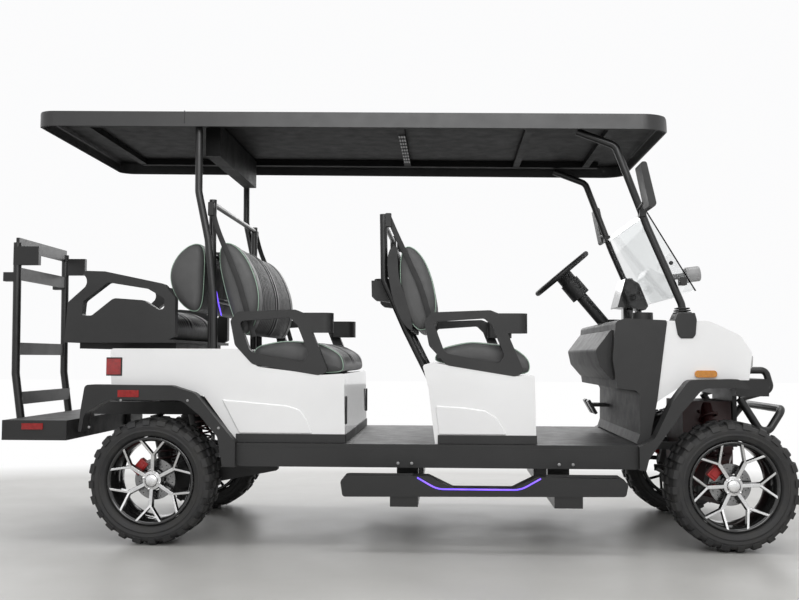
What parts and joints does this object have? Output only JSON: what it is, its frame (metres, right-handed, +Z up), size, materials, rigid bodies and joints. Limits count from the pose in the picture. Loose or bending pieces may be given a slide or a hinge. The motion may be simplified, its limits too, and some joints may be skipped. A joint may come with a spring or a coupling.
{
  "type": "six-seat lifted electric golf cart",
  "caption": "Lifted electric golf cart with three seat rows, a long canopy, fold-down windshield, side steps and a rear foot platform.",
  "frame": {"origin": "on the floor under the middle of the cart's length and width", "axes": "+X forward, +Y to the cart's left, +Z up"},
  "size_m": [3.72, 1.47, 1.9576],
  "materials": {
    "white_panel": "glossy",
    "black_moulding": "textured",
    "black_metal": "satin",
    "frame_metal": "satin",
    "red_metal": "satin",
    "grey_metal": "satin",
    "charcoal_leather": "grained",
    "clear_glass": "clear",
    "red_lens": "glossy",
    "amber_lens": "glossy",
    "lamp_lens": "clear",
    "screen_housing": "glossy",
    "rim_alloy": "machined",
    "tyre_rubber": "matte",
    "battery_case": "matte",
    "knuckle_metal": "rough"
  },
  "bodies": {
    "chassis": {"chassis_frame": "frame_metal", "cross_members": "frame_metal", "floor_deck": "black_moulding", "sills": "black_moulding", "side_steps": "black_metal", "front_fenders": "black_moulding", "rear_fenders": "black_moulding", "front_cowl": "white_panel", "dashboard": "black_moulding", "instrument_screen": "screen_housing", "steering_column": "black_moulding", "pedals": "black_metal", "front_bumper": "black_metal", "headlamps": "lamp_lens", "tail_lamps": "red_lens", "side_markers": "amber_lens", "reflectors": "red_lens", "front_seat_pod": "white_panel", "rear_body": "white_panel", "front_seat_frame": "black_metal", "rear_seat_frame": "black_metal", "front_cushion": "charcoal_leather", "middle_cushion": "charcoal_leather", "rear_cushion": "charcoal_leather", "front_back": "charcoal_leather", "middle_back": "charcoal_leather", "rear_back": "charcoal_leather", "back_shell": "black_moulding", "rear_seat_tray": "black_moulding", "rear_step": "black_moulding", "grab_frame": "black_metal", "roof": "black_moulding", "roof_frame": "grey_metal", "rear_roof_posts": "black_metal", "windshield_posts": "black_metal", "windshield": "clear_glass", "mirrors": "black_moulding", "battery_block": "battery_case", "rear_axle": "frame_metal", "front_suspension": "red_metal", "front_armrests": "black_moulding", "middle_armrests": "black_moulding"},
    "steering_wheel": {"steering_wheel": "black_moulding"},
    "tie_rods": {"tie_rods": "knuckle_metal"},
    "knuckle_right": {"knuckle_right": "knuckle_metal"},
    "knuckle_left": {"knuckle_left": "knuckle_metal"},
    "front_wheel_right": {"front_tyre_right": "tyre_rubber", "front_rim_right": "rim_alloy"},
    "front_wheel_left": {"front_tyre_left": "tyre_rubber", "front_rim_left": "rim_alloy"},
    "rear_wheel_right": {"rear_tyre_right": "tyre_rubber", "rear_rim_right": "rim_alloy"},
    "rear_wheel_left": {"rear_tyre_left": "tyre_rubber", "rear_rim_left": "rim_alloy"}
  },
  "joints": [
    {"name": "steer_right", "type": "hinge", "parent": "chassis", "child": "knuckle_right", "pos_m": [1.528, -0.452, 0.281], "axis": [0, 0, 1], "range_deg": [-30, 30]},
    {"name": "steer_left", "type": "hinge", "parent": "chassis", "child": "knuckle_left", "pos_m": [1.528, 0.452, 0.281], "axis": [0, 0, 1], "range_deg": [-30, 30]},
    {"name": "rack_slide", "type": "slide", "parent": "chassis", "child": "tie_rods", "axis": [0, 1, 0], "range_m": [-0.056, 0.056]},
    {"name": "wheel_turn", "type": "hinge", "parent": "chassis", "child": "steering_wheel", "pos_m": [0.898, 0.3, 1.283], "axis": [-0.6428, 0, 0.766], "range_deg": [-360, 360]},
    {"name": "front_roll_right", "type": "hinge", "parent": "knuckle_right", "child": "front_wheel_right", "pos_m": [1.528, -0.5325, 0.281], "axis": [0, 1, 0], "continuous": true},
    {"name": "rear_roll_right", "type": "hinge", "parent": "chassis", "child": "rear_wheel_right", "pos_m": [-1.032, -0.5225, 0.281], "axis": [0, 1, 0], "continuous": true},
    {"name": "front_roll_left", "type": "hinge", "parent": "knuckle_left", "child": "front_wheel_left", "pos_m": [1.528, 0.5325, 0.281], "axis": [0, 1, 0], "continuous": true},
    {"name": "rear_roll_left", "type": "hinge", "parent": "chassis", "child": "rear_wheel_left", "pos_m": [-1.032, 0.5225, 0.281], "axis": [0, 1, 0], "continuous": true}
  ],
  "couplings": [
    {"joint": "steer_left", "follows": "steer_right", "ratio": 1},
    {"joint": "rack_slide", "follows": "steer_right", "m_per_rad": -0.105},
    {"joint": "wheel_turn", "follows": "steer_right", "ratio": 12}
  ]
}
